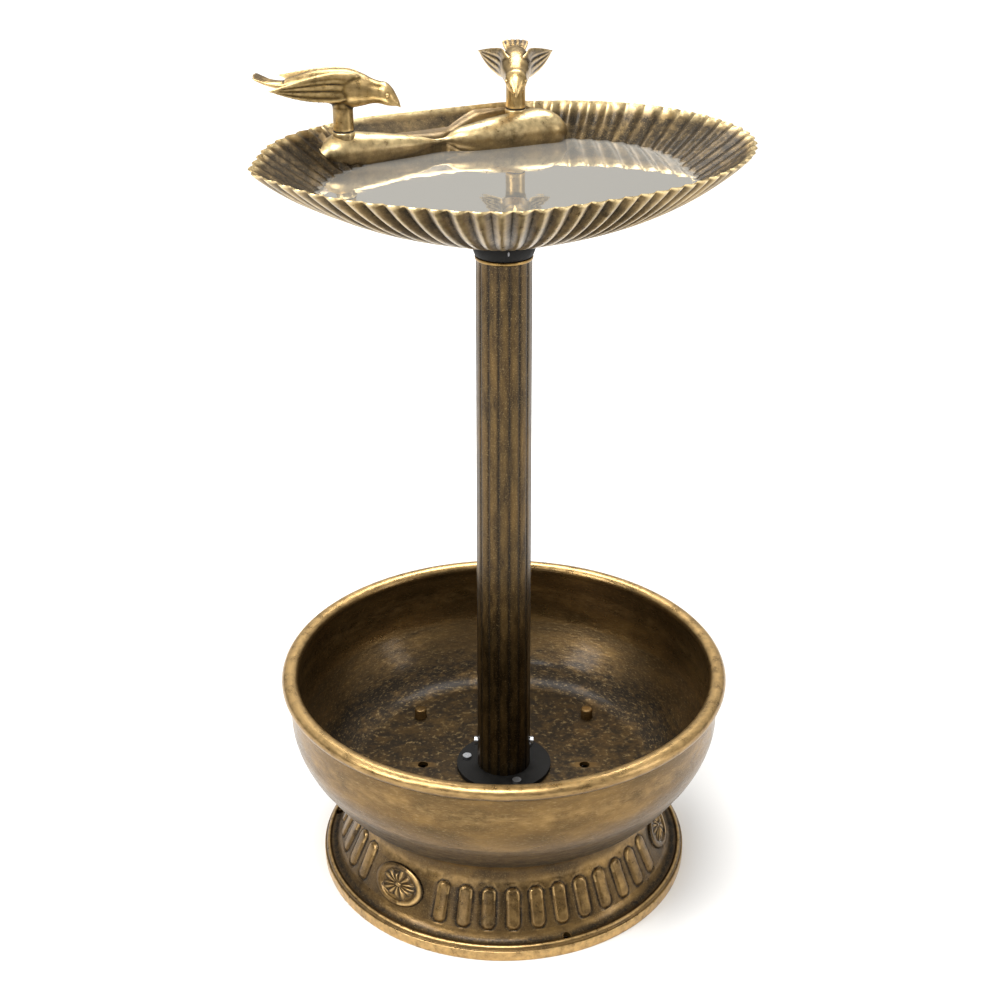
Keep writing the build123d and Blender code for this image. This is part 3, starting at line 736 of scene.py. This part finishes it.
basin_grid = np.concatenate([under_hub, outer, edge, inner, inner_floor, floor_middle])
crest = np.clip((scallop + 0.62) ** 2, 0, 1) * fluted
cleft = (1 - np.clip((scallop + 0.62), 0, 1)) * fluted
outer_rim = 1.6 * np.clip((outer_share - 0.986) / 0.014, 0, 1)
inner_rim = 1.6 * np.clip((inner_share - 0.98) / 0.02, 0, 1)
outer_worn = np.clip(0.5 * crest * growth(outer_share) + outer_rim, 0, 1)
inner_worn = np.clip(0.25 * cleft * growth(inner_share) + inner_rim, 0, 1)
outer_below_rim = 1 - np.clip((outer_share - 0.97) / 0.03, 0, 1)
inner_below_rim = 1 - np.clip((inner_share - 0.96) / 0.03, 0, 1)
outer_hollow = cleft**0.8 * growth(outer_share) * outer_below_rim
# Painted shade over the whole inner face below the rim, and wax in its grooves.
inner_wax_and_shade = (0.75 + 0.25 * crest) * inner_below_rim
one = np.ones_like(shell_angles)
basin_worn = np.concatenate([0 * one, outer_worn, one, inner_worn, 0.2 * one, 0.2 * one])
# The rows under the hub and on the inner floor are darkened as painted shade.
basin_wax_and_shade = np.concatenate([
    0.4 * one, outer_hollow, 0 * one, inner_wax_and_shade, 0.4 * one, 0.4 * one
])
basin = skin("basin", basin_grid, masks={"wear_and_highlight": basin_worn, "wax_and_shade": basin_wax_and_shade})
peg_clearance = 0.3
cut(
    basin, rod("peg_socket", 0, 0, collar_peg + peg_clearance, 600, 620.8),
    rod("washer_pocket", *washer_pocket),
)
shell_bronze = antique_bronze(
    "basin_antique_bronze_paint", gold="#e4cb96", body="#746040", dark="#3f3522", pale="#9b8154"
)
basin.data.materials.clear()
basin.data.materials.append(shell_bronze)
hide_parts("basin")
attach(basin, "basin")

# ---- Hinge ledge and scrolls --------------------------------------------------------------------
# Along the shell's hinge two scrolls swell out towards its ears, with a flat ledge behind them
# where the birds stand. They are one with the shell, smooth and paler than its flutes, and close
# down on its inner face. The upper front of each roll is rubbed gold with a painted highlight on
# it, and painted shade lies on the roll's underside and on the ledge behind.
left_end, right_end, end_run = 98.0, 88.0, 26.5
left_horn_radius, right_horn_radius, thinnest_horn = 18.0, 20.5, 2.5
ledge_u = np.linspace(-124, 114, 150)
axis_v = np.interp(
    ledge_u, [-124, -98, -40, -14, 0, 10, 25, 88, 114],
    [126, 131, 128, 130, 131, 130, 130, 134, 126],
)
left_horn = np.clip((-12 - ledge_u) / 86, 0, 1) ** 0.6
right_horn = np.clip(ledge_u / right_end, 0, 1) ** 0.3
horn = np.maximum(left_horn_radius * left_horn, right_horn_radius * right_horn)
past_end = np.maximum(-left_end - ledge_u, ledge_u - right_end)
horn = horn * np.sqrt(np.clip(1 - (np.maximum(past_end, 0) / end_run) ** 2, 0, 1))
smoothing = np.exp(-np.linspace(-2, 2, 11) ** 2)
smoothing /= smoothing.sum()
horn = np.convolve(np.pad(np.maximum(horn, thinnest_horn), 5, "edge"), smoothing, "valid")
axis_v = np.convolve(np.pad(axis_v, 5, "edge"), smoothing, "valid")
axis_level = basin_rim - 20.0 - 1.5 * np.clip(ledge_u[:, None] / 20, 0, 1)
ledge_level = basin_rim - 13.0 + 9.5 * np.clip((ledge_u[:, None] - 8) / 30, 0, 1)
ledge_level = ledge_level - 28.0 * np.clip(past_end[:, None] / end_run, 0, 1) ** 1.5
hinge_rim = half_depth_back * (1 - (np.abs(ledge_u) / half_width) ** back_power) ** (1 / back_power)
hinge_rim = np.minimum(hinge_cut, hinge_rim)


def wall_level(x, y):
    """Height of the shell's inner face over places in plan, from each one's share of the way
    between the hub circle and the rim in its own direction."""
    rim_angle = shell_angles[0]
    rim_x, rim_y = at_reach(rim_reach(rim_angle), rim_angle)
    rim_turn, turn = np.arctan2(rim_y, rim_x), np.arctan2(y, x)
    order = np.argsort(rim_turn)
    rim_turn = rim_turn[order]
    out = np.interp(turn, rim_turn, np.hypot(rim_x, rim_y)[order], period=2 * np.pi)
    angle = np.interp(turn, rim_turn, rim_angle[order], period=2 * np.pi)
    share = np.clip((np.hypot(x, y) - hub_radius) / (out - hub_radius), 0, 1)
    return basin_foot + shell_wall + (basin_rim - basin_foot) * shell_rise(share, angle)


roll = np.radians(np.linspace(235, 18, 30))
arc_v = axis_v[:, None] + horn[:, None] * np.cos(roll)
arc_z = axis_level + horn[:, None] * np.sin(roll)
back_share = np.linspace(0.1, 1, 10)
insets = np.linspace(1, 70, 139)
behind_x, behind_y = from_shell(ledge_u[:, None], hinge_rim[:, None] - insets)
wall_middle = wall_level(behind_x, behind_y) - 0.5 * shell_wall
seat = hinge_rim - insets[np.argmax(wall_middle <= ledge_level, 1)]
shelf_v = arc_v[:, -1:] + (np.maximum(seat, arc_v[:, -1] + 1)[:, None] - arc_v[:, -1:]) * back_share
shelf_z = ledge_level + (arc_z[:, -1:] - ledge_level) * np.exp(-5 * back_share)
low_v = np.stack([np.maximum(hinge_rim - 28, axis_v + 1), arc_v[:, 0] + 0.5], -1)
above_wall = 0.3
ring_x, ring_y = from_shell(ledge_u[:, None], np.concatenate([arc_v, shelf_v, low_v], 1))
ring_z = np.concatenate([arc_z, shelf_z, np.zeros_like(low_v)], 1)
ring_z = np.maximum(ring_z, wall_level(ring_x, ring_y) + above_wall)
ledge_grid = np.stack([ring_x, ring_y, ring_z], -1)
# Gold on the upper front of each roll: rubbed, and a painted highlight.
roll_highlight = bump_at(np.degrees(roll), 120, 50)
lit_roll = np.concatenate([roll_highlight, np.full(10, 0.15), np.zeros(2)])
ledge = skin(
    "basin_hinge_ledge", ledge_grid,
    # Painted shade on the roll's underside and on the ledge behind it.
    masks={"wear_and_highlight": 0.9 * lit_roll, "wax_and_shade": 0.3 * (1 - lit_roll)},
)
cut(ledge, rod("washer_pocket", *washer_pocket))
ledge.data.materials.clear()
ledge.data.materials.append(shell_bronze)
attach(ledge, "basin")

perch_radius, perch_bore = 9.6, 4.05
perch_line = np.array([
    (0.05, 662), (perch_radius, 662), (perch_radius, 672), (perch_radius, 676), (perch_radius, 680),
    (perch_radius, 682), (perch_radius, 682.4), (9.1, 683.1), (8.2, 683.3), (4.1, 683.3),
    (perch_bore, 682.9), (perch_bore, 664), (0.05, 664),
])
perch_masks = {
    "wear_and_highlight": bump_at(perch_line[:, 1:], 683, 2) + 0.3, "wax_and_shade": bump_at(perch_line[:, 1:], 671, 3)
}
for side, (x, y, _) in bird_places.items():
    grid = turned(perch_line[:, :1], perch_line[:, 1:], np.arange(0, 360, 5)) + (x, y, 0)
    perch = skin(f"basin_perch_{side}", grid, masks=perch_masks)
    perch.data.materials.append(shell_bronze)
    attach(perch, "basin")

# ---- Water --------------------------------------------------------------------------------------
# The basin holds still water to about 29 mm below its rim. The water isn't part of the bird bath,
# so it is a prop: a flat sheet out to the shell's inner face that mirrors the white room, with
# ripples 40 mm long.
water_level, sheet_depth = 655.0, 0.4
steps = np.linspace(0.2, 1, 400)[:, None]
levels = basin_foot + shell_wall + (basin_rim - basin_foot) * shell_rise(steps, shell_angles)
fill_share = steps[np.argmax(levels >= water_level, 0), 0][None]
shore = shell_place(fill_share, 0.0, 1.0, inner_relief * growth(fill_share), 1.0)[0, :, :2]
surface_plan = shore * np.linspace(1.0, 0.02, 30)[:, None, None]
surface = np.insert(surface_plan, 2, water_level, axis=-1)
water = skin("water", np.concatenate([surface[::-1], surface - (0, 0, sheet_depth)]))
clear, tree, out = finish_named("still_water")
place = add(tree, "TexCoord").outputs["Object"]
ripple = add(tree, "TexNoise", {"Vector": place, "Scale": 26.0, "Detail": 2.0})
swellings = add(
    tree, "Bump", {"Height": ripple.outputs["Fac"], "Strength": 0.12, "Distance": 0.002}
)
# A faint emission makes the water glow: a painted sheen of light.
face = add(
    tree, "BsdfPrincipled",
    {"Base Color": linear("#bcb9b0"), "Roughness": 0.03, "Metallic": 0.8,
     "Normal": swellings.outputs["Normal"],
     "Emission Color": linear("#c8c5bd"), "Emission Strength": 0.12},
)
tree.links.new(face.outputs[0], out.inputs["Surface"])
water.data.materials.append(clear)
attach(water, "basin")

# ---- Birds --------------------------------------------------------------------------------------
# Two cast doves stand on round posts, one looking along the hinge and one at the front. Each is one
# casting, body, half-open wings, tail and post, with cut feather lines, and its peg turns in its
# perch.


def ring_loft(name, stations, steps, around=40, power=2.0):
    """A loft of upright rings along X. Each station gives the place along, the height of the
    middle, the half height and the half width. The ring is a superellipse of the given power."""
    line = flow(stations, steps)
    turn = np.linspace(0, 2 * np.pi, around, endpoint=False)
    c, s = np.cos(turn), np.sin(turn)
    c, s = np.sign(c) * np.abs(c) ** (2 / power), np.sign(s) * np.abs(s) ** (2 / power)
    x = np.repeat(line[:, :1], around, 1)
    return skin(name, np.stack([x, line[:, 3:4] * c, line[:, 1:2] + line[:, 2:3] * s], -1))


def bird_wing(hand):
    """A wing as rings along its span: each ring runs from the upper to the lower edge over a domed
    outer face with four feather cuts and back over a flatter inner face, thinner to the tip."""
    lead = flow([
        (18, 4, 46), (10, 8.5, 50), (-4, 11.5, 51.5), (-20, 17, 49.5), (-38, 25.5, 45.5),
        (-58, 34.5, 40.2),
    ], 12)
    trail = flow([
        (9, 10, 30), (-2, 13, 26.5), (-16, 18, 27), (-30, 24, 29.5), (-44, 29.5, 34),
        (-57.5, 34, 39.4),
    ], 12)
    outer_steps, inner_steps = 44, 22
    chord = np.concatenate([np.linspace(0, 1, outer_steps), np.linspace(1, 0, inner_steps)[1:-1]])
    over = np.arange(len(chord)) < outer_steps
    dome = np.sqrt(np.clip(1 - (2 * chord - 1) ** 2, 0, 1))
    span = np.linspace(0, 1, len(lead))[:, None]
    out = np.cross(np.gradient(lead + trail, axis=0), trail - lead)
    out /= np.linalg.norm(out, axis=1, keepdims=True)
    out *= np.sign(out[:, 1:2])
    thick = 2.2 * (1 - span) + 0.8
    feather = np.abs(np.sin(np.pi * (4.5 * chord + 0.2))) ** 0.5
    cutting = 1.1 * (1 - feather) * np.clip(span * 5 - 0.8, 0, 1) * (chord > 0.22)
    rise = np.where(over, (thick - cutting) * dome**0.7, -0.4 * thick * dome)
    grid = lead[:, None] * (1 - chord[:, None]) + trail[:, None] * chord[:, None]
    grid = grid + out[:, None] * rise[..., None]
    grid[..., 1] *= hand
    return skin("wing", grid)


def bird_tail():
    """The tail as rings along X: a flat fan that lifts to its tip, ridged lengthwise on its top.
    Each station gives the place along, the height, the half thickness and the half width."""
    line = flow([
        (-40, 39, 5.5, 8.5), (-50, 38.2, 3.8, 7.6), (-60, 40.0, 2.4, 9.6), (-68, 43.2, 1.8, 11.8),
        (-73, 45.6, 1.3, 12.4),
    ], 10)
    turn = np.linspace(0, 2 * np.pi, 60, endpoint=False)
    across, up = np.cos(turn), np.sin(turn)
    fan = np.clip((-line[:, :1] - 50) / 12, 0, 1)
    lines = 0.55 * np.abs(np.sin(2.5 * np.pi * across)) * (up > 0) * fan
    grid = np.stack([
        line[:, :1] - 2.0 * fan * (1 - across**2) + 0 * up, line[:, 3:4] * across + 0 * fan,
        line[:, 1:2] + (line[:, 2:3] + lines) * np.sign(up) * np.abs(up) ** 0.8,
    ], -1)
    return skin("tail", grid)


def merged(*pieces):
    """The pieces made one mesh and one object, named as the first."""
    with bpy.context.temp_override(
        active_object=pieces[0], selected_objects=pieces, selected_editable_objects=pieces
    ):
        bpy.ops.object.join()
    return pieces[0]


def points_of(mesh):
    """The places of a mesh's points in metres, one to a row."""
    points = np.empty(len(mesh.vertices) * 3)
    mesh.vertices.foreach_get("co", points)
    return points.reshape(-1, 3)


def bird_casting(side):
    """The bird's surfaces made one body: the union on a 0.6 mm voxel grid, then smoothed."""
    body = ring_loft("body", [
        (49.4, 19.6, 0.8, 0.8), (48.2, 22.4, 2.6, 2.0), (46.0, 25.2, 4.6, 3.8),
        (42.5, 28.4, 7.6, 6.8), (37.5, 31.0, 9.6, 9.4), (31.5, 32.4, 9.4, 9.8),
        (25.0, 33.6, 10.6, 10.4), (17.0, 34.8, 13.6, 12.2), (6.0, 35.8, 16.2, 13.8),
        (-8.0, 37.2, 15.2, 13.4), (-22.0, 38.8, 12.2, 11.6), (-36.0, 39.4, 8.0, 9.2),
        (-48.0, 39.0, 4.4, 7.4),
    ], 8, around=56)
    eye_along, eye_level, eye_out = 38.9, 31.6, 0.0086
    eye_line = ((-1.5, 0.1), (-1.2, 0.9), (0, 1.5), (1.2, 0.9), (1.5, 0.1))
    eye_stations = [(x + eye_along, eye_level, r, r) for x, r in eye_line]
    eyes = [ring_loft("eye", eye_stations, 3) for _ in range(2)]
    for eye, hand in zip(eyes, (1, -1)):
        points = points_of(eye.data) + (0, hand * eye_out, 0)
        eye.data.vertices.foreach_set("co", points.ravel())
    post_line = np.array([
        (0.05, 0), (8.2, 0), (8.8, 0.7), (8.8, 20), (9.6, 24), (10.5, 28), (0.05, 28)
    ])
    post = skin("post", turned(post_line[:, :1], post_line[:, 1:], np.arange(0, 360, 6)))
    casting = merged(body, *eyes, post, bird_tail(), bird_wing(1), bird_wing(-1))
    voxel = 0.0006
    fuse = casting.modifiers.new("fuse", "REMESH")
    fuse.mode, fuse.voxel_size, fuse.use_smooth_shade = "VOXEL", voxel, True
    ease = casting.modifiers.new("ease", "SMOOTH")
    ease.factor, ease.iterations = 0.5, 4
    shape = casting.evaluated_get(bpy.context.evaluated_depsgraph_get())
    mesh = bpy.data.meshes.new_from_object(shape)
    casting.modifiers.clear()
    casting.data = mesh
    casting.name = f"bird_{side}"
    mesh.name = f"bird_{side}"
    return casting


def bird_masks(mesh, tail_tip):
    """Wear and wax from the bird's own shape. Each point is compared with the mean of its
    neighbours, taken twelve times over: it is rubbed to gold where it stands proud and dark with
    wax where it lies below.
    The tail is left dark past 62 mm behind the post, by tail_tip, the distance of each point."""
    points = points_of(mesh)
    normals = np.empty(points.size)
    mesh.vertices.foreach_get("normal", normals)
    normals = normals.reshape(-1, 3)
    edges = np.empty(len(mesh.edges) * 2, int)
    mesh.edges.foreach_get("vertices", edges)
    a, b = edges.reshape(-1, 2).T
    count = np.bincount(np.concatenate([a, b]), minlength=len(points))[:, None]
    eased = points
    for _ in range(12):
        total = np.zeros_like(points)
        np.add.at(total, a, eased[b])
        np.add.at(total, b, eased[a])
        eased = total / np.maximum(count, 1)
    proud = ((points - eased) * normals).sum(1) * 1000
    tip = np.clip((tail_tip - 62) / 6, 0, 1)
    keep_mask(mesh, "wear_and_highlight", 0.25 + proud / 0.28 - tip)
    keep_mask(mesh, "wax_and_shade", -proud / 0.16 + tip)


bird_bronze = antique_bronze(
    "bird_antique_bronze_paint", gold="#e0c188", body="#80673a", dark="#43351f", pale="#a5854c"
)
perch_top = 684.1
peg_line = np.array([(0.05, 662.0), (3.7, 662.0), (3.95, 662.4), (3.95, 684.6), (0.05, 684.6)])
for side, (x, y, heading) in bird_places.items():
    casting = bird_casting(side)
    points = points_of(casting.data)
    behind = -points[:, 0] * 1000
    c, s = np.cos(np.radians(heading)), np.sin(np.radians(heading))
    points = points @ np.array([[c, s, 0], [-s, c, 0], [0, 0, 1]])
    points = points + np.array([x, y, perch_top]) / 1000
    casting.data.vertices.foreach_set("co", points.ravel())
    casting.data.update()
    bird_masks(casting.data, behind)
    casting.data.materials.clear()
    casting.data.materials.append(bird_bronze)
    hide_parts(f"bird_{side}")
    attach(casting, f"bird_{side}")
    peg_grid = turned(peg_line[:, :1], peg_line[:, 1:], np.arange(0, 360, 10)) + (x, y, 0)
    peg = skin(f"bird_{side}_peg", peg_grid, masks={"wear_and_highlight": 0.5, "wax_and_shade": 0.0})
    peg.data.materials.append(bird_bronze)
    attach(peg, f"bird_{side}")
